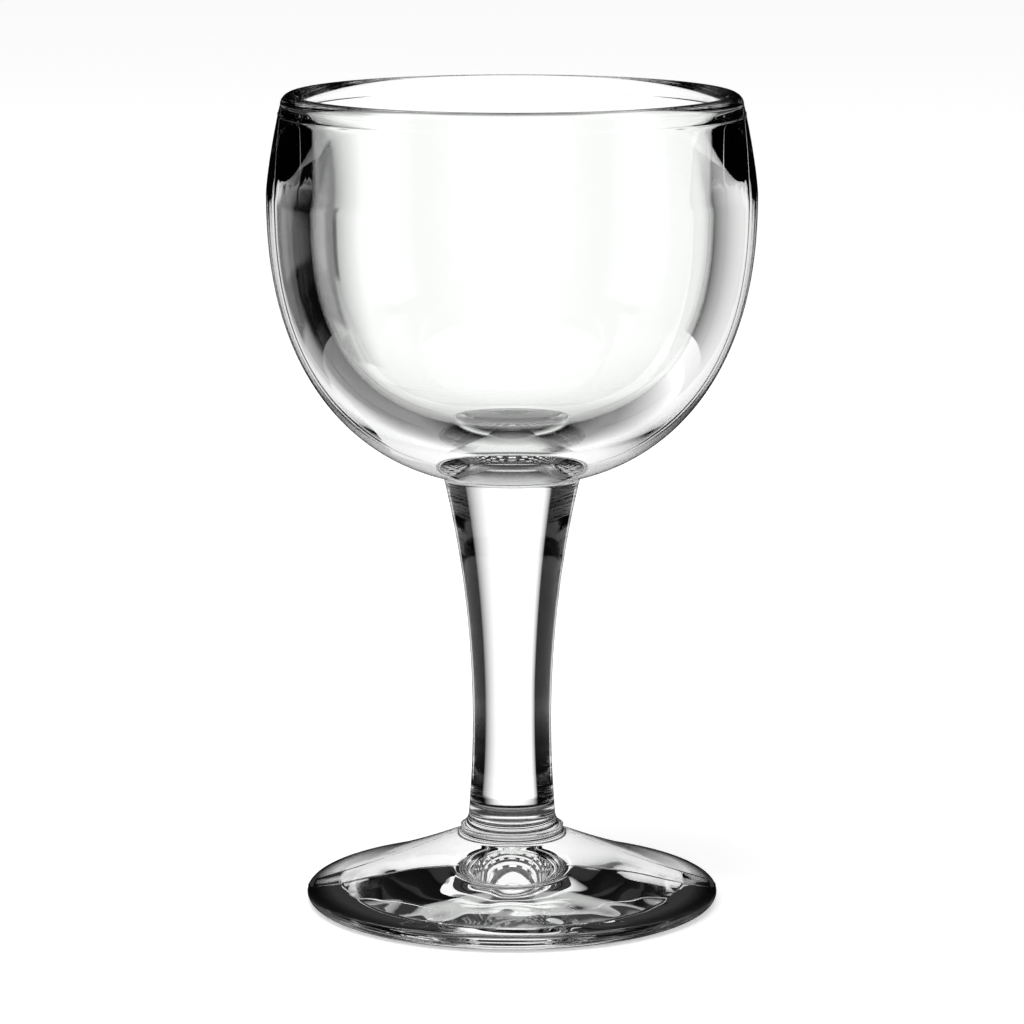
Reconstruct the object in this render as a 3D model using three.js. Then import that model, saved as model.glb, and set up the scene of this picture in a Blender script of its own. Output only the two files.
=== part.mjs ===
// Balloon wine glass in clear soda-lime glass. It is made of three gathers that are fused end
// to end: a heavy round bowl, a solid drawn stem and a conical foot.
// Units are millimetres and +Z is up. The origin is the centre of the circle the foot stands on.

import * as THREE from 'three';

// Overall
const GLASS_HEIGHT = 152;
const FACETS = 64;

// Bowl, outside
const BELLY_RADIUS = 45.3;
const BELLY_HEIGHT = 133.7;
const BELLY_DEPTH_BELOW = 54;
const BELLY_FULLNESS_BELOW = 2.31;
const SHOULDER_REACH = 113.8;
const SHOULDER_FULLNESS = 1.32;

// Bowl, inside
const DRAFT = 0.055;
const INNER_BEND_HEIGHT = 129;
const INNER_FLOOR_HEIGHT = 86.8;
const INNER_FULLNESS_BELOW = 2.6;

// Rim and the ring left by the mould's neck
const RIM_RADIUS = 2;
const RIM_CENTRE_RADIUS = 40.5;
const NECK_RING_HEIGHT = 148.4;
const NECK_RING_PROUD = 0.12;
const NECK_RING_HALF_WIDTH = 0.35;

// Weld between the bowl and the stem
const UPPER_WELD_HEIGHT = 80.6;
const UPPER_WELD_RADIUS = 12.3;
const UPPER_LIP = 0.35;
const BOWL_NECK_RADIUS = 13;

// Stem: its side is one long arc with its waist low down
const WAIST_RADIUS = 7.32;
const WAIST_HEIGHT = 34.4;
const STEM_SIDE_ARC = 201.5;
const COVE_RADIUS = 3.2;
const COVE_START_HEIGHT = 17;

// Weld between the stem and the foot
const LOWER_WELD_HEIGHT = 14;
const LOWER_WELD_RADIUS = 9.3;
const LOWER_LIP = 0.35;
const LOWER_GROOVE = 0.455;

// Foot
const BUTTON_RADIUS = 10.1;
const BUTTON_BEND_HEIGHT = 12.75;
const BUTTON_FILLET_END = { r: 11.3, z: 12.45 };
const CONE_HOLLOW = 0.9;
const EDGE_CENTRE = { r: 36.5, z: 1.75 };
const EDGE_REACH = 2.2;
const EDGE_HEIGHT_ABOVE = 1.35;
const EDGE_CONE_ANGLE = 60;
const REST_RING_INNER_RADIUS = 31.5;
const UNDERSIDE_RISE = 5.6;
const UNDERSIDE_ROUNDING = 5;

// Number of straight steps along each curve of an outline
const STEPS = {
  outside: 14,
  shoulder: 4,
  inside: 13,
  wall: 4,
  rim: 6,
  lip: 2,
  side: 10,
  cove: 4,
  cone: 6,
  button: 3,
  edge: 4,
  underside: 8,
};

const GLASS_LOOK = { color: 0xf4f8f6, roughness: 0.02, metalness: 0, transparent: true, opacity: 0.35 };

const at = (r, z) => new THREE.Vector2(r, z);
const toRadians = THREE.MathUtils.degToRad;

/** Points at equal steps from 0 to 1, each placed by place(t). */
function sweep(steps, place) {
  return Array.from({ length: steps + 1 }, (_, i) => place(i / steps));
}

/** An elliptical arc round a centre, from one angle to another in degrees, 0 being outwards. */
function arc(centre, reach, height, fromDegrees, toDegrees, steps) {
  return sweep(steps, (t) => {
    const angle = toRadians(THREE.MathUtils.lerp(fromDegrees, toDegrees, t));
    return at(centre.r + reach * Math.cos(angle), centre.z + height * Math.sin(angle));
  });
}

/** Radius of a rounded body of revolution at a distance from its widest level. */
function roundedRadius(widest, distance, reach, fullness) {
  return widest * (1 - (distance / reach) ** fullness) ** (1 / fullness);
}

/** Distance from its widest level at which a rounded body of revolution has a given radius. */
function roundedDistance(widest, radius, reach, fullness) {
  return reach * (1 - (radius / widest) ** fullness) ** (1 / fullness);
}

/** Drops points that repeat the one before, where two curves meet. */
function joined(...runs) {
  const points = runs.flat();
  return points.filter((p, i) => i === 0 || p.distanceTo(points[i - 1]) > 1e-4);
}

/** A closed body turned from an outline of radius and height that starts and ends on the axis. */
function turned(name, outline) {
  const geometry = new THREE.LatheGeometry(outline, FACETS);
  geometry.rotateX(Math.PI / 2);
  const mesh = new THREE.Mesh(geometry, new THREE.MeshStandardMaterial(GLASS_LOOK));
  mesh.name = name;
  return mesh;
}

/** Outer radius of the bowl at a height. */
function bowlOuterRadius(z) {
  return z < BELLY_HEIGHT
    ? roundedRadius(BELLY_RADIUS, BELLY_HEIGHT - z, BELLY_DEPTH_BELOW, BELLY_FULLNESS_BELOW)
    : roundedRadius(BELLY_RADIUS, z - BELLY_HEIGHT, SHOULDER_REACH, SHOULDER_FULLNESS);
}

/** The bowl's outside below its belly: steps close up towards the weld, where it turns fastest. */
function bowlUnderside() {
  const depth = roundedDistance(BELLY_RADIUS, BOWL_NECK_RADIUS, BELLY_DEPTH_BELOW, BELLY_FULLNESS_BELOW);
  const endAngle = Math.asin(depth / BELLY_DEPTH_BELOW);
  return sweep(STEPS.outside, (t) => {
    const z = BELLY_HEIGHT - BELLY_DEPTH_BELOW * Math.sin(endAngle * (1 - t));
    return at(bowlOuterRadius(z), z);
  });
}

/** The bowl's outside from its belly to the rim, with the fine ring that the mould's neck leaves. */
function bowlShoulder(rimCentreHeight) {
  const ringLow = NECK_RING_HEIGHT - NECK_RING_HALF_WIDTH;
  const ringHigh = NECK_RING_HEIGHT + NECK_RING_HALF_WIDTH;
  const rise = sweep(STEPS.shoulder, (t) => {
    const z = THREE.MathUtils.lerp(BELLY_HEIGHT, ringLow, t);
    return at(bowlOuterRadius(z), z);
  });
  const ring = [
    at(bowlOuterRadius(NECK_RING_HEIGHT) + NECK_RING_PROUD, NECK_RING_HEIGHT),
    at(bowlOuterRadius(ringHigh), ringHigh),
  ];
  const rimStart = at(RIM_CENTRE_RADIUS + RIM_RADIUS, rimCentreHeight);
  return [...rise, ...ring, rimStart];
}

/** The bowl's inside: straight with a little draft, as the plunger left it, then round to the floor. */
function bowlInside(rimCentreHeight) {
  const top = rimCentreHeight - RIM_RADIUS;
  const draftRadius = (z) => RIM_CENTRE_RADIUS - RIM_RADIUS - DRAFT * (top - z);
  const depth = INNER_BEND_HEIGHT - INNER_FLOOR_HEIGHT;
  const wall = sweep(STEPS.wall, (t) => {
    const z = THREE.MathUtils.lerp(top, INNER_BEND_HEIGHT, t);
    return at(draftRadius(z), z);
  });
  const floor = sweep(STEPS.inside, (t) => {
    const angle = t * Math.PI / 2;
    const z = INNER_BEND_HEIGHT - depth * Math.sin(angle) ** (2 / INNER_FULLNESS_BELOW);
    const share = Math.cos(angle) ** (2 / INNER_FULLNESS_BELOW);
    return at(t === 1 ? 0 : draftRadius(z) * share, z);
  });
  return [...wall, ...floor];
}

/** The bowl, from the centre of its weld face, up the outside, over the rim and down the inside. */
function makeBowl() {
  const rimCentre = { r: RIM_CENTRE_RADIUS, z: GLASS_HEIGHT - RIM_RADIUS };
  const lipCentre = { r: UPPER_WELD_RADIUS, z: UPPER_WELD_HEIGHT + UPPER_LIP };
  return turned('bowl', joined(
    [at(0, UPPER_WELD_HEIGHT)],
    arc(lipCentre, UPPER_LIP, UPPER_LIP, -90, 0, STEPS.lip),
    bowlUnderside(),
    bowlShoulder(rimCentre.z),
    arc(rimCentre, RIM_RADIUS, RIM_RADIUS, 0, 180, STEPS.rim),
    bowlInside(rimCentre.z),
  ));
}

/** Radius of the stem's long side at a height. */
function stemRadius(z) {
  return WAIST_RADIUS + STEM_SIDE_ARC - Math.sqrt(STEM_SIDE_ARC ** 2 - (z - WAIST_HEIGHT) ** 2);
}

/** The stem: a rounded lip and a cove at the bottom, one long arc, and a rounded lip at the top. */
function makeStem() {
  const lowerLipCentre = { r: LOWER_WELD_RADIUS, z: LOWER_WELD_HEIGHT + LOWER_LIP };
  const upperLipCentre = { r: UPPER_WELD_RADIUS, z: UPPER_WELD_HEIGHT - UPPER_LIP };
  const coveCentre = { r: stemRadius(COVE_START_HEIGHT) + COVE_RADIUS, z: COVE_START_HEIGHT };
  const coveDrop = COVE_START_HEIGHT - (LOWER_WELD_HEIGHT + LOWER_GROOVE);
  const coveEnd = 180 + THREE.MathUtils.radToDeg(Math.asin(coveDrop / COVE_RADIUS));
  const sideTop = upperLipCentre.z - UPPER_LIP;
  return turned('stem', joined(
    [at(0, LOWER_WELD_HEIGHT)],
    arc(lowerLipCentre, LOWER_LIP, LOWER_LIP, -90, 0, STEPS.lip),
    arc(coveCentre, COVE_RADIUS, COVE_RADIUS, coveEnd, 180, STEPS.cove),
    sweep(STEPS.side, (t) => {
      const z = THREE.MathUtils.lerp(COVE_START_HEIGHT, sideTop, t);
      return at(stemRadius(z), z);
    }),
    arc(upperLipCentre, UPPER_LIP, UPPER_LIP, 0, 90, STEPS.lip),
    [at(0, UPPER_WELD_HEIGHT)],
  ));
}

/** Height of the foot's hollow underside: a shallow cone with a rounded middle. */
function undersideHeight(r) {
  const fall = (radius) => Math.hypot(radius, UNDERSIDE_ROUNDING) - UNDERSIDE_ROUNDING;
  return UNDERSIDE_RISE * (1 - fall(r) / fall(REST_RING_INNER_RADIUS));
}

/** The foot: hollow underside, flat rest ring, rounded edge, faintly hollow cone and a button. */
function makeFoot() {
  const lipCentre = { r: LOWER_WELD_RADIUS, z: LOWER_WELD_HEIGHT - LOWER_LIP };
  const lowerEdge = arc(EDGE_CENTRE, EDGE_REACH, EDGE_CENTRE.z, -90, 0, STEPS.edge);
  const upperEdge = arc(EDGE_CENTRE, EDGE_REACH, EDGE_HEIGHT_ABOVE, 0, EDGE_CONE_ANGLE, STEPS.edge);
  const coneStart = upperEdge.at(-1);
  const coneEnd = at(BUTTON_FILLET_END.r, BUTTON_FILLET_END.z);
  const coneBend = coneStart.clone().lerp(coneEnd, 0.5).sub(at(0, CONE_HOLLOW));
  const cone = new THREE.QuadraticBezierCurve(coneStart, coneBend, coneEnd).getPoints(STEPS.cone);
  const buttonSide = new THREE.QuadraticBezierCurve(
    coneEnd,
    at(BUTTON_RADIUS, BUTTON_BEND_HEIGHT),
    at(LOWER_WELD_RADIUS + LOWER_LIP, lipCentre.z),
  ).getPoints(STEPS.button);
  const underside = sweep(STEPS.underside, (t) => {
    const r = REST_RING_INNER_RADIUS * t;
    return at(r, undersideHeight(r));
  });
  return turned('foot', joined(
    underside,
    lowerEdge,
    upperEdge,
    cone,
    buttonSide,
    arc(lipCentre, LOWER_LIP, LOWER_LIP, 0, 90, STEPS.lip),
    [at(0, LOWER_WELD_HEIGHT)],
  ));
}

const wineGlass = new THREE.Group();
wineGlass.name = 'balloon_wine_glass';
wineGlass.add(makeBowl(), makeStem(), makeFoot());

export default wineGlass;
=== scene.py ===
"""Balloon wine glass in clear soda-lime glass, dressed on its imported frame.

The glass is three gathers fused end to end: a heavy pressed and blown bowl, a drawn stem and a pressed
foot. Each class below holds the sizes of one gather in millimetres and builds its skin as a turned
mesh. Meshes go to Blender in metres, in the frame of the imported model.
"""

from __future__ import annotations

import logging
import math
from dataclasses import dataclass, field
from enum import Enum
from typing import Any, Callable, Sequence

import bpy
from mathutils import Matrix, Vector

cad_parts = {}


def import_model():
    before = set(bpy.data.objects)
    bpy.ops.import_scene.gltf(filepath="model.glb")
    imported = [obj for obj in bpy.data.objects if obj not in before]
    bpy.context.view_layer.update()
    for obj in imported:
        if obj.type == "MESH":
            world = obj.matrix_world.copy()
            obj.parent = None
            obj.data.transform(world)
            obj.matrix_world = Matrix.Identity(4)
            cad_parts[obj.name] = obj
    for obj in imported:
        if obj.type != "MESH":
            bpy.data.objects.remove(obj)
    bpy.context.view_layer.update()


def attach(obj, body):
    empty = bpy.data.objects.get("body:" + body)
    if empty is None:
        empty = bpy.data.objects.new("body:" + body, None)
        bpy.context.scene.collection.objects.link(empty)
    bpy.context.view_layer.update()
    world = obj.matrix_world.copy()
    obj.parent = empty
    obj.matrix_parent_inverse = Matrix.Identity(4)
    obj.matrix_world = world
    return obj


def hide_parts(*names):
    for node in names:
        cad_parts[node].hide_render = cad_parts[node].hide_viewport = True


LOG = logging.getLogger("wine_glass")

MM = 0.001
SAME_POINT_MM = 1e-4
ON_AXIS_MM = 1e-6
LIP_STEPS = 8
# Beside a seam the mesh's columns keep their distance in millimetres down to this radius, and narrow
# with the piece below it, so that they don't cross near the axis.
SEAM_NARROWS_MM = 9.0
# Light crosses up to four skins of glass in the bowl, and is thrown back many times in the thick parts.
GLASS_BOUNCES = 32
GLOSS_BOUNCES = 12
CARD_BOUNCES = 16
Outline = list[tuple[float, float]]


class Weld(Enum):
    """Which ends of a turned piece are fused to a neighbour."""

    BOTTOM = "bottom"
    TOP = "top"
    BOTH = "both"


def sweep(steps: int, place: Callable[[float], tuple[float, float]]) -> Outline:
    """Places points at equal steps.

    Args:
        steps: number of steps.
        place: gives the point for a share of the way, from 0 to 1.

    Returns:
        The points, one more than the steps.
    """
    return [place(i / steps) for i in range(steps + 1)]


def arc(
    centre: tuple[float, float],
    reach: float,
    height: float,
    start: float,
    end: float,
    steps: int,
) -> Outline:
    """Makes an elliptical arc in the plane of radius and height.

    Args:
        centre: radius and height of the centre.
        reach: half axis along the radius.
        height: half axis along the height.
        start: first angle in degrees, 0 being outwards.
        end: last angle in degrees.
        steps: number of steps.

    Returns:
        The points of the arc.
    """

    def place(t: float) -> tuple[float, float]:
        """Gives the point at a share of the arc."""
        angle = math.radians(start + (end - start) * t)
        return centre[0] + reach * math.cos(angle), centre[1] + height * math.sin(angle)

    return sweep(steps, place)


def bend(
    start: tuple[float, float],
    pull: tuple[float, float],
    end: tuple[float, float],
    steps: int,
) -> Outline:
    """Makes a curve between two points that leaves each towards a third.

    Args:
        start: first point.
        pull: point that the curve is drawn towards.
        end: last point.
        steps: number of steps.

    Returns:
        The points of the curve.
    """

    def place(t: float) -> tuple[float, float]:
        """Gives the point at a share of the curve."""
        a, b, c = (1 - t) ** 2, 2 * t * (1 - t), t * t
        return a * start[0] + b * pull[0] + c * end[0], a * start[1] + b * pull[1] + c * end[1]

    return sweep(steps, place)


def joined(*runs: Outline) -> Outline:
    """Joins runs of points and drops a point that repeats the one before it.

    Args:
        *runs: the runs, in order.

    Returns:
        All their points.
    """
    points: Outline = []
    for point in (p for run in runs for p in run):
        if not points or math.dist(point, points[-1]) > SAME_POINT_MM:
            points.append(point)
    return points


def rounded_radius(widest: float, distance: float, reach: float, fullness: float) -> float:
    """Gives the radius of a rounded body at a distance from its widest level."""
    return widest * (1 - (distance / reach) ** fullness) ** (1 / fullness)


def linear(hex_colour: str) -> tuple[float, float, float, float]:
    """Turns an sRGB hex colour into a linear one.

    Args:
        hex_colour: six hex digits with a hash before them.

    Returns:
        Red, green, blue and alpha, linear.
    """

    def channel(value: int) -> float:
        """Turns one sRGB channel of 0 to 255 into a linear one."""
        c = value / 255
        return c / 12.92 if c <= 0.04045 else ((c + 0.055) / 1.055) ** 2.4

    digits = hex_colour.lstrip("#")
    red, green, blue = (channel(int(digits[i : i + 2], 16)) for i in (0, 2, 4))
    return red, green, blue, 1.0


def add_node(
    tree: bpy.types.NodeTree,
    kind: str,
    settings: dict[str, Any] | None = None,
    inputs: dict[str | int, Any] | None = None,
) -> bpy.types.Node:
    """Adds one node, with its settings, its values and the links into it.

    Args:
        tree: the node tree.
        kind: Blender's name for the node.
        settings: attributes of the node.
        inputs: value or linked output for each input socket.

    Returns:
        The new node.
    """
    node = tree.nodes.new(kind)
    for name, value in (settings or {}).items():
        setattr(node, name, value)
    for socket, value in (inputs or {}).items():
        if isinstance(value, bpy.types.NodeSocket):
            tree.links.new(value, node.inputs[socket])
        else:
            node.inputs[socket].default_value = value
    return node


def new_material(name: str) -> tuple[bpy.types.Material, bpy.types.NodeTree]:
    """Makes an empty node material.

    Args:
        name: its name.

    Returns:
        The material and its node tree.
    """
    material = bpy.data.materials.new(name)
    material.use_nodes = True
    material.node_tree.nodes.clear()
    return material, material.node_tree


@dataclass(frozen=True)
class ClearGlass:
    """Soda-lime glass, melted, shaped hot and fire-polished.

    The eye gets a colourless body with a faint green cast, a mirror-smooth skin, and slow waves in that
    skin from the hot mould, which bend what shows through. Where the skin is seen at a grazing angle its
    colour runs to near black: painted shade that stands in for the dark surroundings seen in the limbs.
    """

    name: str
    tint: str = "#fefffe"
    # Painted shade: the near-black colour the glass takes where its skin is seen at a grazing angle, and
    # the facing over which it comes in.
    painted_edge_shade: str = "#0b0c0c"
    painted_edge_start: float = 0.80
    painted_edge_full: float = 1.0
    ior: float = 1.52
    polish: float = 0.0
    wear: float = 0.012
    wave_mm: float = 22.0
    wave_depth_mm: float = 0.012
    wave_detail: float = 1.0
    chill_mm: float = 4.0
    chill_depth_mm: float = 0.0006
    chill_detail: float = 2.0
    rub_start: float = 0.55
    rub_full: float = 0.8

    def material(self) -> bpy.types.Material:
        """Builds the node material.

        Returns:
            The material.
        """
        material, tree = new_material(self.name)
        place = add_node(tree, "ShaderNodeNewGeometry").outputs["Position"]
        wave = add_node(
            tree,
            "ShaderNodeTexNoise",
            {"noise_dimensions": "3D"},
            {"Vector": place, "Scale": 1 / (self.wave_mm * MM), "Detail": self.wave_detail},
        )
        chill = add_node(
            tree,
            "ShaderNodeTexNoise",
            {"noise_dimensions": "3D"},
            {"Vector": place, "Scale": 1 / (self.chill_mm * MM), "Detail": self.chill_detail},
        )
        slow = add_node(
            tree,
            "ShaderNodeBump",
            inputs={
                "Strength": 1.0,
                "Distance": self.wave_depth_mm * MM,
                "Height": wave.outputs["Fac"],
            },
        )
        skin = add_node(
            tree,
            "ShaderNodeBump",
            inputs={
                "Strength": 1.0,
                "Distance": self.chill_depth_mm * MM,
                "Height": chill.outputs["Fac"],
                "Normal": slow.outputs["Normal"],
            },
        )
        rub = add_node(
            tree,
            "ShaderNodeMapRange",
            inputs={
                "Value": chill.outputs["Fac"],
                "From Min": self.rub_start,
                "From Max": self.rub_full,
                "To Min": self.polish,
                "To Max": self.wear,
            },
        )
        # Painted shade at the edges: the colour runs from the tint to near black as the skin turns from
        # facing the view to a grazing angle.
        facing = add_node(
            tree, "ShaderNodeLayerWeight", inputs={"Blend": 0.5, "Normal": skin.outputs["Normal"]}
        )
        edge = add_node(
            tree,
            "ShaderNodeMapRange",
            {"interpolation_type": "SMOOTHSTEP"},
            {
                "Value": facing.outputs["Facing"],
                "From Min": self.painted_edge_start,
                "From Max": self.painted_edge_full,
            },
        )
        body = add_node(
            tree,
            "ShaderNodeMixRGB",
            inputs={
                "Fac": edge.outputs["Result"],
                "Color1": linear(self.tint),
                "Color2": linear(self.painted_edge_shade),
            },
        )
        glass = add_node(
            tree,
            "ShaderNodeBsdfPrincipled",
            inputs={
                "Base Color": body.outputs["Color"],
                "Metallic": 0.0,
                "Roughness": rub.outputs["Result"],
                "IOR": self.ior,
                "Transmission Weight": 1.0,
                "Normal": skin.outputs["Normal"],
            },
        )
        add_node(tree, "ShaderNodeOutputMaterial", inputs={"Surface": glass.outputs[0]})
        return material


@dataclass(frozen=True)
class FusedFace:
    """The face where two gathers were pressed together hot: one glass, with nothing to see there."""

    name: str = "fused_face"

    def material(self) -> bpy.types.Material:
        """Builds the node material.

        Returns:
            The material.
        """
        material, tree = new_material(self.name)
        clear = add_node(tree, "ShaderNodeBsdfTransparent", inputs={"Color": (1, 1, 1, 1)})
        add_node(tree, "ShaderNodeOutputMaterial", inputs={"Surface": clear.outputs[0]})
        return material


@dataclass
class MouldSeam:
    """The two fine upright ridges where the mould's halves met, near +X and -X."""

    proud: float = 0.10
    half_width: float = 0.32
    low: float = 0.0
    high: float = 200.0
    fade: float = 1.5
    places: tuple[float, float] = (3.0, 177.0)

    def lift(self, aside: float, height: float) -> float:
        """Gives how far the seam lifts the skin.

        Args:
            aside: distance from the middle of the seam, in millimetres.
            height: height above the ground, in millimetres.

        Returns:
            The lift in millimetres.
        """
        if aside >= self.half_width:
            return 0.0
        ends = min(height - self.low, self.high - height) / self.fade
        return self.proud * (1 - (aside / self.half_width) ** 2) ** 2 * max(0.0, min(1.0, ends))


@dataclass(frozen=True)
class Column:
    """One upright line of mesh points: its angle, and its place beside a seam in millimetres."""

    angle: float
    aside: float = 0.0
    on_seam: bool = False

    def place(self, radius: float) -> float:
        """Gives the angle of the column's point at a radius."""
        return self.angle + self.aside / max(radius, SEAM_NARROWS_MM)


@dataclass
class TurnedPiece:
    """A gather of glass, turned from an outline that starts and ends on the axis."""

    facets: int = 384
    seam_steps: int = 6
    seam_clear_degrees: float = 3.0
    seam: MouldSeam = field(default_factory=MouldSeam)

    def columns(self) -> list[Column]:
        """Places the mesh's columns: evenly all round, and close together on the seams.

        Returns:
            The columns in the order of their angles.
        """
        reach = self.seam_steps + 1
        steps = [k / self.seam_steps * self.seam.half_width for k in range(-reach, reach + 1)]
        middles = [math.radians(place) for place in self.seam.places]
        columns = [Column(middle, step, True) for middle in middles for step in steps]
        clear = math.radians(self.seam_clear_degrees)
        for i in range(self.facets):
            angle = 2 * math.pi * i / self.facets
            gaps = [abs(math.remainder(angle - middle, 2 * math.pi)) for middle in middles]
            if min(gaps) > clear:
                columns.append(Column(angle))
        return sorted(columns, key=lambda c: (c.angle, c.aside))

    def build(
        self,
        name: str,
        outline: Outline,
        outer: Sequence[bool],
        weld: Weld,
        glass: bpy.types.Material,
        fused: bpy.types.Material,
    ) -> bpy.types.Object:
        """Turns the outline into a closed mesh.

        Args:
            name: name of the piece.
            outline: radius and height of each point, in millimetres.
            outer: whether each point is on the skin that the mould touched.
            weld: which ends are fused to a neighbour.
            glass: material of the skin.
            fused: material of the faces at the welds.

        Returns:
            The new object.
        """
        columns = self.columns()
        normals = outline_normals(outline)
        verts: list[tuple[float, float, float]] = []
        rings: list[list[int]] = []
        for (radius, height), normal, mould in zip(outline, normals, outer):
            start = len(verts)
            if radius < ON_AXIS_MM:
                verts.append((0.0, 0.0, height * MM))
                rings.append([start] * len(columns))
                continue
            for column in columns:
                angle = column.place(radius)
                seamed = column.on_seam and mould
                lift = self.seam.lift(abs(column.aside), height) if seamed else 0.0
                r, z = radius + normal[0] * lift, height + normal[1] * lift
                verts.append((r * math.cos(angle) * MM, r * math.sin(angle) * MM, z * MM))
            rings.append(list(range(start, start + len(columns))))
        faces: list[tuple[int, ...]] = []
        slots: list[int] = []
        last = len(rings) - 2
        for k, (low, high) in enumerate(zip(rings, rings[1:])):
            is_weld = (k == 0 and weld in (Weld.BOTTOM, Weld.BOTH)) or (
                k == last and weld in (Weld.TOP, Weld.BOTH)
            )
            for i in range(len(columns)):
                j = (i + 1) % len(columns)
                corners = (low[i], low[j], high[j], high[i])
                faces.append(tuple(dict.fromkeys(corners)))
                slots.append(1 if is_weld else 0)
        mesh = bpy.data.meshes.new(name)
        mesh.from_pydata(verts, [], faces)
        mesh.materials.append(glass)
        mesh.materials.append(fused)
        mesh.polygons.foreach_set("material_index", slots)
        mesh.polygons.foreach_set("use_smooth", [slot == 0 for slot in slots])
        mesh.update()
        piece = bpy.data.objects.new(name, mesh)
        bpy.context.scene.collection.objects.link(piece)
        return piece


def outline_normals(outline: Outline) -> Outline:
    """Gives the outward normals of an outline that runs up its outside.

    Args:
        outline: radius and height of each point.

    Returns:
        Radius and height of the normal at each point.
    """
    normals: Outline = []
    for i in range(len(outline)):
        before, after = outline[max(0, i - 1)], outline[min(len(outline) - 1, i + 1)]
        dr, dz = after[0] - before[0], after[1] - before[1]
        length = math.hypot(dr, dz) or 1.0
        normals.append((dz / length, -dr / length))
    return normals


@dataclass
class Bowl:
    """The round bowl: its sizes in millimetres, from the weld face to the rim."""

    belly_radius: float = 45.2
    belly_height: float = 133.7
    belly_depth: float = 54.0
    belly_fullness: float = 2.31
    shoulder_reach: float = 113.8
    shoulder_fullness: float = 1.32
    draft: float = 0.055
    inner_bend_height: float = 129.0
    inner_floor_height: float = 89.4
    inner_fullness: float = 2.6
    rim_height: float = 152.0
    rim_radius: float = 2.0
    rim_centre_radius: float = 40.5
    ring_height: float = 148.4
    ring_proud: float = 0.12
    ring_half_width: float = 0.35
    weld_height: float = 80.6
    weld_radius: float = 12.3
    lip: float = 0.35
    neck_radius: float = 13.0
    underside_steps: int = 72
    shoulder_steps: int = 28
    ring_steps: int = 6
    rim_steps: int = 32
    wall_steps: int = 10
    floor_steps: int = 80
    turned: TurnedPiece = field(
        default_factory=lambda: TurnedPiece(seam=MouldSeam(low=81.0, high=148.0))
    )

    def outer_radius(self, height: float) -> float:
        """Gives the radius of the outside.

        Args:
            height: height above the ground.

        Returns:
            The radius.
        """
        if height < self.belly_height:
            return rounded_radius(
                self.belly_radius, self.belly_height - height, self.belly_depth, self.belly_fullness
            )
        return rounded_radius(
            self.belly_radius,
            height - self.belly_height,
            self.shoulder_reach,
            self.shoulder_fullness,
        )

    def underside(self) -> Outline:
        """Draws the outside from the neck at the weld up to the belly.

        Returns:
            Its points.
        """
        share = 1 - (self.neck_radius / self.belly_radius) ** self.belly_fullness
        end = math.asin(share ** (1 / self.belly_fullness))

        def place(t: float) -> tuple[float, float]:
            """Gives the point at a share of the way up."""
            z = self.belly_height - self.belly_depth * math.sin(end * (1 - t))
            return self.outer_radius(z), z

        return sweep(self.underside_steps, place)

    def shoulder(self) -> Outline:
        """Draws the outside from the belly to the rim, with the fine ring of the mould's neck.

        Returns:
            Its points.
        """
        low = self.ring_height - self.ring_half_width

        def rise(t: float) -> tuple[float, float]:
            """Gives the point at a share of the way from the belly to the ring."""
            z = self.belly_height + (low - self.belly_height) * t
            return self.outer_radius(z), z

        def ring(t: float) -> tuple[float, float]:
            """Gives the point at a share of the way over the ring."""
            z = low + 2 * self.ring_half_width * t
            return self.outer_radius(z) + self.ring_proud * math.sin(math.pi * t) ** 2, z

        return sweep(self.shoulder_steps, rise) + sweep(self.ring_steps, ring)

    def inside(self) -> Outline:
        """Draws the inside from the rim down to the floor's centre.

        Returns:
            Its points.
        """
        top = self.rim_height - 2 * self.rim_radius
        depth = self.inner_bend_height - self.inner_floor_height
        power = 2 / self.inner_fullness

        def draft_radius(z: float) -> float:
            """Gives the radius of the straight wall, which narrows a little downwards."""
            return self.rim_centre_radius - self.rim_radius - self.draft * (top - z)

        def wall(t: float) -> tuple[float, float]:
            """Gives the point at a share of the way from the rim to the bend."""
            z = top + (self.inner_bend_height - top) * t
            return draft_radius(z), z

        def floor(t: float) -> tuple[float, float]:
            """Gives a point of the round part.

            Args:
                t: share of the way from the bend to the floor's centre.

            Returns:
                Radius and height.
            """
            if t == 1:
                return 0.0, self.inner_floor_height
            angle = t * math.pi / 2
            z = self.inner_bend_height - depth * math.sin(angle) ** power
            return draft_radius(z) * math.cos(angle) ** power, z

        return sweep(self.wall_steps, wall) + sweep(self.floor_steps, floor)

    def build(self, glass: bpy.types.Material, fused: bpy.types.Material) -> bpy.types.Object:
        """Builds the bowl, from the centre of its weld face round to the centre of its floor.

        Args:
            glass: material of the skin.
            fused: material of the weld face.

        Returns:
            The bowl.
        """
        lip_centre = (self.weld_radius, self.weld_height + self.lip)
        lip = arc(lip_centre, self.lip, self.lip, -90, 0, LIP_STEPS)
        rim_centre = (self.rim_centre_radius, self.rim_height - self.rim_radius)
        outside = joined([(0.0, self.weld_height)], lip, self.underside(), self.shoulder())
        rim = arc(rim_centre, self.rim_radius, self.rim_radius, 0, 180, self.rim_steps)
        outline = joined(outside, rim, self.inside())
        mould = [i < len(outside) for i in range(len(outline))]
        return self.turned.build("wine_bowl", outline, mould, Weld.BOTTOM, glass, fused)


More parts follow.
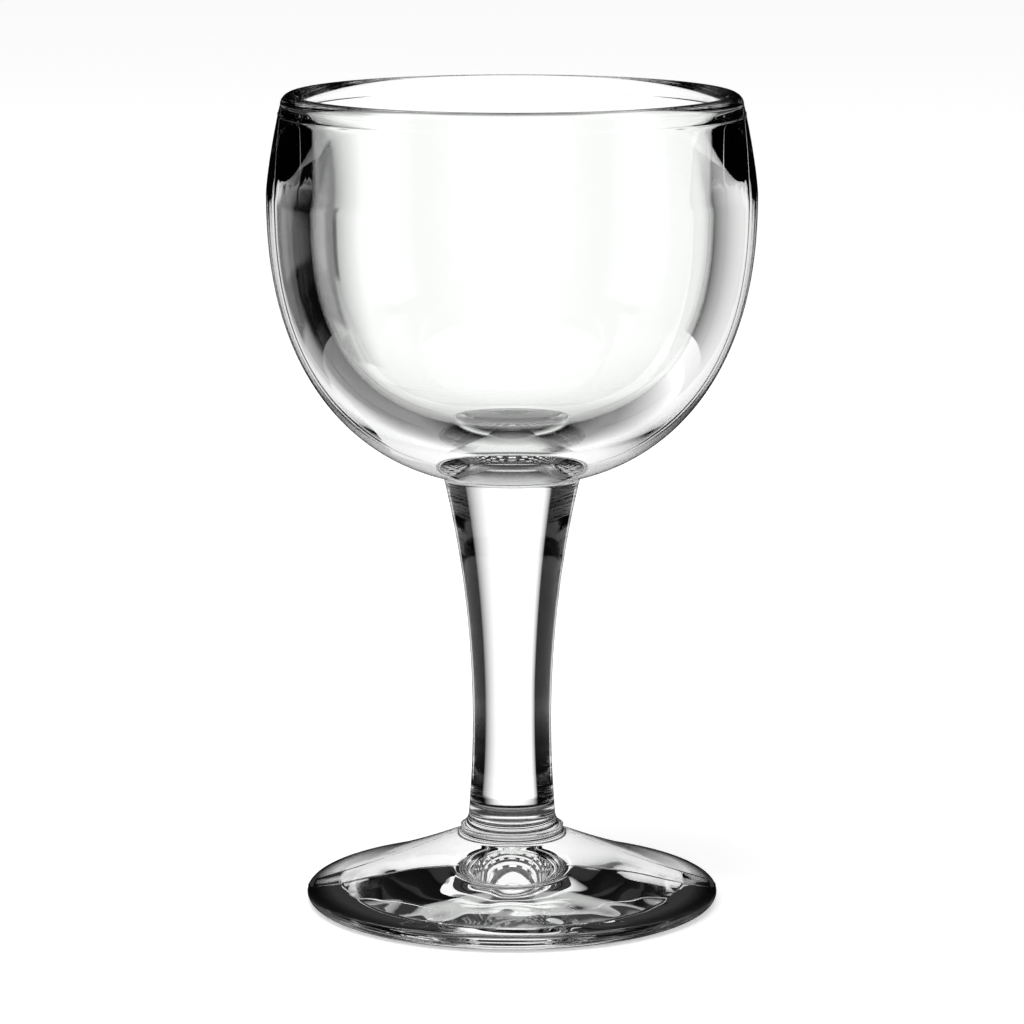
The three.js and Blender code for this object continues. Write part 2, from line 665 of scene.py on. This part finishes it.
@dataclass
class Stem:
    """The solid drawn stem: one long arc with its waist low down, and a cove at its foot end."""

    waist_radius: float = 7.32
    waist_height: float = 34.4
    side_arc: float = 201.5
    cove_radius: float = 3.2
    cove_start: float = 17.0
    cove_end_in_lips: float = 1.3
    low_weld: float = 14.0
    low_weld_radius: float = 9.3
    high_weld: float = 80.6
    high_weld_radius: float = 12.3
    lip: float = 0.35
    side_steps: int = 72
    cove_steps: int = 16
    turned: TurnedPiece = field(
        default_factory=lambda: TurnedPiece(facets=256, seam=MouldSeam(proud=0.05, low=18, high=80))
    )

    def side_radius(self, height: float) -> float:
        """Gives the radius of the long side at a height."""
        rise = height - self.waist_height
        return self.waist_radius + self.side_arc - math.sqrt(self.side_arc**2 - rise**2)

    def build(self, glass: bpy.types.Material, fused: bpy.types.Material) -> bpy.types.Object:
        """Builds the stem between its two weld faces.

        Args:
            glass: material of the skin.
            fused: material of the weld faces.

        Returns:
            The stem.
        """
        cove_centre = (self.side_radius(self.cove_start) + self.cove_radius, self.cove_start)
        drop = self.cove_start - (self.low_weld + self.cove_end_in_lips * self.lip)
        cove_end = 180 + math.degrees(math.asin(drop / self.cove_radius))
        top = self.high_weld - 2 * self.lip

        def side(t: float) -> tuple[float, float]:
            """Gives the point at a share of the way up the long side."""
            z = self.cove_start + (top - self.cove_start) * t
            return self.side_radius(z), z

        low_lip = (self.low_weld_radius, self.low_weld + self.lip)
        high_lip = (self.high_weld_radius, self.high_weld - self.lip)
        outline = joined(
            [(0.0, self.low_weld)],
            arc(low_lip, self.lip, self.lip, -90, 0, LIP_STEPS),
            arc(cove_centre, self.cove_radius, self.cove_radius, cove_end, 180, self.cove_steps),
            sweep(self.side_steps, side),
            arc(high_lip, self.lip, self.lip, 0, 90, LIP_STEPS),
            [(0.0, self.high_weld)],
        )
        mould = [True] * len(outline)
        return self.turned.build("wine_stem", outline, mould, Weld.BOTH, glass, fused)


@dataclass
class Foot:
    """The conical foot: a rounded edge, a flat rest ring and a hollow underside."""

    weld_height: float = 14.0
    weld_radius: float = 9.3
    lip: float = 0.35
    button_radius: float = 10.1
    button_sag: float = 0.3
    fillet_end: tuple[float, float] = (11.3, 12.45)
    cone_hollow: float = 0.9
    edge_centre: tuple[float, float] = (36.4, 1.75)
    edge_reach: float = 2.2
    edge_above: float = 1.35
    edge_cone_angle: float = 60.0
    ring_inner_radius: float = 31.5
    underside_rise: float = 5.6
    underside_rounding: float = 5.0
    hollow_steps: int = 36
    edge_steps: int = 20
    cone_steps: int = 40
    button_steps: int = 14
    turned: TurnedPiece = field(
        default_factory=lambda: TurnedPiece(seam=MouldSeam(low=1.0, high=13.0))
    )

    def build(self, glass: bpy.types.Material, fused: bpy.types.Material) -> bpy.types.Object:
        """Builds the foot, from the centre of its underside round to the centre of its weld face.

        Args:
            glass: material of the skin.
            fused: material of the weld face.

        Returns:
            The foot.
        """

        def hollow(t: float) -> tuple[float, float]:
            """Gives a point of the hollow underside.

            Args:
                t: share of the way from the axis to the rest ring.

            Returns:
                Radius and height.
            """
            rounding = self.underside_rounding
            full = math.hypot(self.ring_inner_radius, rounding) - rounding
            fall = math.hypot(self.ring_inner_radius * t, rounding) - rounding
            return self.ring_inner_radius * t, self.underside_rise * (1 - fall / full)

        reach, rise = self.edge_reach, self.edge_above
        low_edge = arc(self.edge_centre, reach, self.edge_centre[1], -90, 0, self.edge_steps)
        high_edge = arc(self.edge_centre, reach, rise, 0, self.edge_cone_angle, self.edge_steps)
        start, end = high_edge[-1], self.fillet_end
        pull = ((start[0] + end[0]) / 2, (start[1] + end[1]) / 2 - self.cone_hollow)
        lip_centre = (self.weld_radius, self.weld_height - self.lip)
        button_pull = (self.button_radius, end[1] + self.button_sag)
        button_top = (lip_centre[0] + self.lip, lip_centre[1])
        under = sweep(self.hollow_steps, hollow)
        outline = joined(
            under,
            low_edge,
            high_edge,
            bend(start, pull, end, self.cone_steps),
            bend(end, button_pull, button_top, self.button_steps),
            arc(lip_centre, self.lip, self.lip, 0, 90, LIP_STEPS),
            [(0.0, self.weld_height)],
        )
        mould = [i > len(under) for i in range(len(outline))]
        return self.turned.build("wine_foot", outline, mould, Weld.TOP, glass, fused)


class Shows(Enum):
    """Which light paths meet a card: the least and the most skins of glass that they have met.

    Two skins are straight through the stem or the foot, three to five are through the bowl, and from six
    on the light is caught in the thick glass.
    """

    ALL = (0, 99)
    STRAIGHT = (2, 2)
    DEEP = (3, 99)
    BOWL = (3, 5)
    TRAPPED = (6, 99)


@dataclass(frozen=True)
class Card:
    """A curved card of one tone that stands beside the glass: a painted reflection, seen only in the
    glass.

    Attributes:
        name: its name.
        start: azimuth of its first edge, in degrees from the back, clockwise seen from above.
        end: azimuth of its last edge.
        level: its brightness, 1 being white.
        low: height of its lower edge in metres; at 0 it runs on over the floor as a leaf.
        top: height of its upper edge in metres.
        fade_start: degrees over which it fades in.
        fade_end: degrees over which it fades out.
        edge: height over which its upper and lower edges fade, in metres.
        shows: which light paths meet it.
        radius: its distance from the axis of the glass, in metres.
        leaf_start: how near to the axis the leaf comes, in metres.
        leaf_edge: length over which the leaf's edge fades, in metres.
    """

    name: str
    start: float
    end: float
    level: float
    low: float = 0.0
    top: float = 0.20
    fade_start: float = 0.0
    fade_end: float = 0.0
    edge: float = 0.004
    shows: Shows = Shows.ALL
    radius: float = 0.25
    leaf_start: float = 0.24
    leaf_edge: float = 0.004


@dataclass
class Studio:
    """The plain pale floor, the soft light, the cards round the glass and the camera.

    Clear glass shows what stands round it: a dark surround makes its black limbs, and white windows
    behind it and at its sides make its clear middle. These cards are painted reflections: each glows at
    its own level, lights nothing, and is met only by light paths that have crossed a chosen number of
    glass skins. The camera sees none of them directly.
    """

    camera_back: float = 0.8431
    camera_height: float = 0.22506
    camera_pitch: float = 10.16
    focal_pixels: float = 4601.0
    frame_pixels: float = 1024.0
    sensor_width: float = 36.0
    view_end: float = 100.0
    floor_size: float = 30.0
    floor_drop: float = 0.0002
    floor_colour: str = "#f2f2f2"
    floor_lift: float = 0.42
    leaf_step: float = 0.00002
    leaves: int = 0
    card_columns: int = 48
    fade_power: float = 0.7
    # Painted shadow on the floor that the glass shows: its level near the foot, and the distances from
    # the axis where it starts to lift and where it ends.
    painted_shadow_start: float = 0.022
    painted_shadow_end: float = 0.035
    painted_shadow_level: float = 0.06
    sky_stops: tuple[tuple[float, float], ...] = ((0.6, 0.0), (0.72, 1.0), (1.0, 1.0))
    softbox_side: float = 1.2
    softbox_power: float = 12.0
    softbox_place: tuple[float, float, float] = (-0.3, -0.4, 1.5)
    softbox_aim: tuple[float, float, float] = (0.0, 0.0, 0.08)
    cards: tuple[Card, ...] = (
        Card("dark_surround", -180.0, 180.0, 0.002, top=0.4, radius=0.27, leaf_start=0.0372),
        Card(
            "grey_floor", -180.0, 180.0, 0.22,
            top=0.0, radius=0.268, leaf_start=0.07, leaf_edge=0.03, shows=Shows.BOWL,
        ),
        Card(
            "light_floor", -38.0, 120.0, 1.15,
            top=0.0, radius=0.266, fade_start=24.0, leaf_start=0.165, leaf_edge=0.085,
            shows=Shows.BOWL,
        ),
        Card(
            "left_high_dark", -62.0, -24.8, 0.012,
            low=0.083, top=0.1, radius=0.249, fade_end=1.0, shows=Shows.BOWL,
        ),
        # Painted shade in the foot: a near-black leaf under the foot that only light caught in the thick
        # glass meets.
        Card(
            "foot_shade", -180.0, 180.0, 0.04,
            top=0.0, radius=0.075, leaf_start=0.01, shows=Shows.TRAPPED,
        ),
        Card(
            "left_high_light", -64.0, -30.0, 0.17,
            low=0.084, top=0.12, radius=0.248, fade_start=34.0, fade_end=4.0, shows=Shows.BOWL,
        ),
        Card(
            "left_low_light", -44.0, -25.0, 0.45,
            low=0.004, top=0.042, edge=0.008, fade_start=19.0, shows=Shows.BOWL,
        ),
        Card(
            "bowl_window", -28.0, 28.0, 1.16,
            top=0.165, fade_start=10.0, leaf_start=0.2, shows=Shows.DEEP,
        ),
        Card(
            "right_light", 28.0, 65.0, 0.95,
            top=0.1, fade_end=34.0, leaf_start=0.2, shows=Shows.BOWL,
        ),
        Card(
            "solid_window", -25.0, 31.5, 1.16,
            top=0.165, fade_start=6.0, fade_end=17.0, leaf_start=0.06, shows=Shows.STRAIGHT,
        ),
        Card(
            "side_floor", -124.0, -74.0, 1.15,
            top=0.0, radius=0.265, fade_start=10.0, fade_end=10.0, leaf_start=0.165,
            leaf_edge=0.085, shows=Shows.BOWL,
        ),
        Card(
            "front_floor", 150.0, 210.0, 1.15,
            top=0.0, radius=0.265, fade_start=10.0, fade_end=10.0, leaf_start=0.165,
            leaf_edge=0.085, shows=Shows.BOWL,
        ),
        Card("left_window", -112.0, -68.0, 1.0, fade_start=6.0, fade_end=6.0, shows=Shows.DEEP),
        Card("right_window", 68.0, 112.0, 1.0, fade_start=6.0, fade_end=6.0, shows=Shows.DEEP),
        Card("front_window", 140.0, 220.0, 1.0, fade_start=24.0, fade_end=24.0, shows=Shows.DEEP),
        Card(
            "left_solid_window", -116.0, -64.0, 1.1,
            top=0.165, fade_start=6.0, fade_end=6.0, leaf_start=0.06, shows=Shows.STRAIGHT,
        ),
        Card(
            "right_solid_window", 64.0, 116.0, 1.1,
            top=0.165, fade_start=6.0, fade_end=6.0, leaf_start=0.06, shows=Shows.STRAIGHT,
        ),
        Card(
            "front_solid_window", 152.0, 208.0, 1.1,
            top=0.165, fade_start=6.0, fade_end=6.0, leaf_start=0.06, shows=Shows.STRAIGHT,
        ),
    )

    def camera(self) -> None:
        """Makes the camera at the photograph's viewing angle."""
        data = bpy.data.cameras.new("camera")
        data.sensor_width = self.sensor_width
        data.lens = self.focal_pixels / self.frame_pixels * data.sensor_width
        data.clip_end = self.view_end
        camera = bpy.data.objects.new("camera", data)
        camera.location = (0, -self.camera_back, self.camera_height)
        camera.rotation_euler = (math.radians(90 - self.camera_pitch), 0, 0)
        bpy.context.scene.collection.objects.link(camera)
        bpy.context.scene.camera = camera

    def floor(self) -> None:
        """Makes the floor: a pale matt sheet that renders white and keeps the shadow. To light that
        comes through the glass it is a plain glow with painted shadow, near black close to the foot and
        white further out.
        """
        material, tree = new_material("pale_floor")
        path = add_node(tree, "ShaderNodeLightPath").outputs
        place = add_node(tree, "ShaderNodeNewGeometry").outputs["Position"]
        away = add_node(tree, "ShaderNodeVectorMath", {"operation": "LENGTH"}, {0: place})
        # Painted shadow: the floor met by light through the glass darkens near the foot by distance from
        # the axis, not by any light.
        near = add_node(
            tree,
            "ShaderNodeMapRange",
            {"interpolation_type": "SMOOTHSTEP"},
            {
                "Value": away.outputs["Value"],
                "From Min": self.painted_shadow_start,
                "From Max": self.painted_shadow_end,
                "To Min": self.painted_shadow_level,
                "To Max": 1.0,
            },
        )
        matt = add_node(tree, "ShaderNodeBsdfDiffuse", inputs={"Color": linear(self.floor_colour)})
        glow = add_node(
            tree, "ShaderNodeEmission", inputs={"Color": (1, 1, 1, 1), "Strength": self.floor_lift}
        )
        both = add_node(tree, "ShaderNodeAddShader", inputs={0: matt.outputs[0], 1: glow.outputs[0]})
        painted_shadow_glow = add_node(
            tree,
            "ShaderNodeEmission",
            inputs={"Color": (1, 1, 1, 1), "Strength": near.outputs["Result"]},
        )
        seen = add_node(
            tree,
            "ShaderNodeMixShader",
            inputs={0: path["Is Transmission Ray"], 1: both.outputs[0], 2: painted_shadow_glow.outputs[0]},
        )
        add_node(tree, "ShaderNodeOutputMaterial", inputs={"Surface": seen.outputs[0]})
        half = self.floor_size / 2
        corners = [(-half, -half), (half, -half), (half, half), (-half, half)]
        mesh = bpy.data.meshes.new("floor")
        mesh.from_pydata([(x, y, -self.floor_drop) for x, y in corners], [], [(0, 1, 2, 3)])
        mesh.materials.append(material)
        floor = bpy.data.objects.new("floor", mesh)
        bpy.context.scene.collection.objects.link(floor)

    def world(self) -> None:
        """Makes the sky: white to the camera, and to the glass black with a soft light overhead."""
        world = bpy.data.worlds.new("studio")
        world.use_nodes = True
        bpy.context.scene.world = world
        tree = world.node_tree
        tree.nodes.clear()
        ray = add_node(tree, "ShaderNodeTexCoord").outputs["Generated"]
        parts = add_node(tree, "ShaderNodeSeparateXYZ", inputs={"Vector": ray})
        ramp = add_node(tree, "ShaderNodeValToRGB", inputs={"Fac": parts.outputs["Z"]})
        ramp.color_ramp.elements.remove(ramp.color_ramp.elements[1])
        first = ramp.color_ramp.elements[0]
        first.position = 0.0
        first.color = (0, 0, 0, 1)
        for position, level in self.sky_stops:
            stop = ramp.color_ramp.elements.new(position)
            stop.color = (level, level, level, 1)
        camera_ray = add_node(tree, "ShaderNodeLightPath").outputs["Is Camera Ray"]
        sky = add_node(
            tree,
            "ShaderNodeMixRGB",
            inputs={"Fac": camera_ray, "Color1": ramp.outputs["Color"], "Color2": (1, 1, 1, 1)},
        )
        back = add_node(
            tree, "ShaderNodeBackground", inputs={"Color": sky.outputs["Color"], "Strength": 1.0}
        )
        add_node(tree, "ShaderNodeOutputWorld", inputs={"Surface": back.outputs[0]})

    def card_stock(self, card: Card) -> bpy.types.Material:
        """Makes the plain stock of a card, which fades out where the mesh's cover falls to 0.

        Args:
            card: the card.

        Returns:
            The stock's material.
        """
        material, tree = new_material(card.name)
        cover = add_node(tree, "ShaderNodeAttribute", {"attribute_name": "cover"}).outputs["Fac"]
        path = add_node(tree, "ShaderNodeLightPath").outputs
        # Painted reflection: the card is met only by light paths that have crossed the chosen number of
        # glass skins.
        least, most = card.shows.value
        shown = add_node(
            tree,
            "ShaderNodeMath",
            {"operation": "COMPARE"},
            {0: path["Ray Depth"], 1: (least + most) / 2, 2: (most - least + 1) / 2},
        )
        cover = add_node(
            tree, "ShaderNodeMath", {"operation": "MULTIPLY"}, {0: cover, 1: shown.outputs[0]}
        ).outputs[0]
        tone = (card.level, card.level, card.level, 1)
        stock = add_node(tree, "ShaderNodeEmission", inputs={"Color": tone, "Strength": 1.0})
        clear = add_node(tree, "ShaderNodeBsdfTransparent")
        sheet = add_node(
            tree, "ShaderNodeMixShader", inputs={0: cover, 1: clear.outputs[0], 2: stock.outputs[0]}
        )
        add_node(tree, "ShaderNodeOutputMaterial", inputs={"Surface": sheet.outputs[0]})
        return material

    def card(self, card: Card) -> None:
        """Stands one curved card beside the glass, with its leaf on the floor if it reaches down.

        Args:
            card: the card.
        """
        self.leaves += 1
        leaf = self.leaves * self.leaf_step
        edge = min(card.edge, card.top)
        low = max(card.low, leaf)
        rows = [(card.radius, card.top + edge, 0.0), (card.radius, card.top, 1.0)]
        if card.low > 0:
            rows += [(card.radius, low, 1.0), (card.radius, low - edge, 0.0)]
        else:
            rows += [(card.radius, leaf, 1.0), (card.leaf_start, leaf, 1.0)]
            rows += [(card.leaf_start - card.leaf_edge, leaf, 0.0)]
        verts: list[tuple[float, float, float]] = []
        cover: list[float] = []
        faces: list[tuple[int, ...]] = []
        for i in range(self.card_columns + 1):
            azimuth = card.start + (card.end - card.start) * i / self.card_columns
            near = (azimuth - card.start) / card.fade_start if card.fade_start else 1.0
            far = (card.end - azimuth) / card.fade_end if card.fade_end else 1.0
            way = math.radians(azimuth)
            for radius, height, full in rows:
                verts.append((math.sin(way) * radius, math.cos(way) * radius, height))
                cover.append(full * max(0.0, min(1.0, near, far)) ** self.fade_power)
        for i in range(self.card_columns):
            for k in range(len(rows) - 1):
                a = len(rows) * i + k
                faces.append((a, a + 1, a + len(rows) + 1, a + len(rows)))
        mesh = bpy.data.meshes.new(card.name)
        mesh.from_pydata(verts, [], faces)
        mesh.attributes.new("cover", "FLOAT", "POINT").data.foreach_set("value", cover)
        mesh.materials.append(self.card_stock(card))
        thing = bpy.data.objects.new(card.name, mesh)
        bpy.context.scene.collection.objects.link(thing)
        thing.visible_camera = False
        thing.visible_diffuse = False
        thing.visible_shadow = False

    def light(self) -> None:
        """Makes the large soft light above the glass."""
        data = bpy.data.lights.new("overhead_softbox", "AREA")
        data.shape = "RECTANGLE"
        data.size = self.softbox_side
        data.size_y = self.softbox_side
        data.energy = self.softbox_power
        lamp = bpy.data.objects.new("overhead_softbox", data)
        lamp.location = self.softbox_place
        aim = Vector(self.softbox_aim) - lamp.location
        lamp.rotation_euler = aim.to_track_quat("-Z", "Y").to_euler()
        lamp.visible_glossy = False
        lamp.visible_transmission = False
        bpy.context.scene.collection.objects.link(lamp)

    def build(self) -> None:
        """Builds the whole set."""
        self.camera()
        self.floor()
        self.world()
        for card in self.cards:
            self.card(card)
        self.light()


def set_light_paths() -> None:
    """Gives light enough bounces to cross every wall of the glass."""
    cycles = bpy.context.scene.cycles
    cycles.max_bounces = GLASS_BOUNCES
    cycles.transmission_bounces = GLASS_BOUNCES
    cycles.transparent_max_bounces = CARD_BOUNCES
    cycles.glossy_bounces = GLOSS_BOUNCES


def dress(piece: bpy.types.Object, node: str) -> None:
    """Ties a piece to the frame.

    Args:
        piece: the finished piece.
        node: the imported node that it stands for.
    """
    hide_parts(node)
    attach(piece, "root")
    LOG.info("%s stands for %s: %d faces", piece.name, node, len(piece.data.polygons))


def main() -> None:
    """Builds the glass and its set."""
    logging.basicConfig(level=logging.INFO, format="%(name)s: %(message)s")
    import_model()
    bpy.context.scene.view_settings.view_transform = "Standard"
    set_light_paths()
    Studio().build()
    fused = FusedFace().material()
    dress(Bowl().build(ClearGlass("soda_lime_bowl").material(), fused), "bowl")
    dress(Stem().build(ClearGlass("soda_lime_stem").material(), fused), "stem")
    foot_glass = ClearGlass("soda_lime_foot", wave_mm=13.0, wave_depth_mm=0.25)
    dress(Foot().build(foot_glass.material(), fused), "foot")


if __name__ == "__main__":
    main()
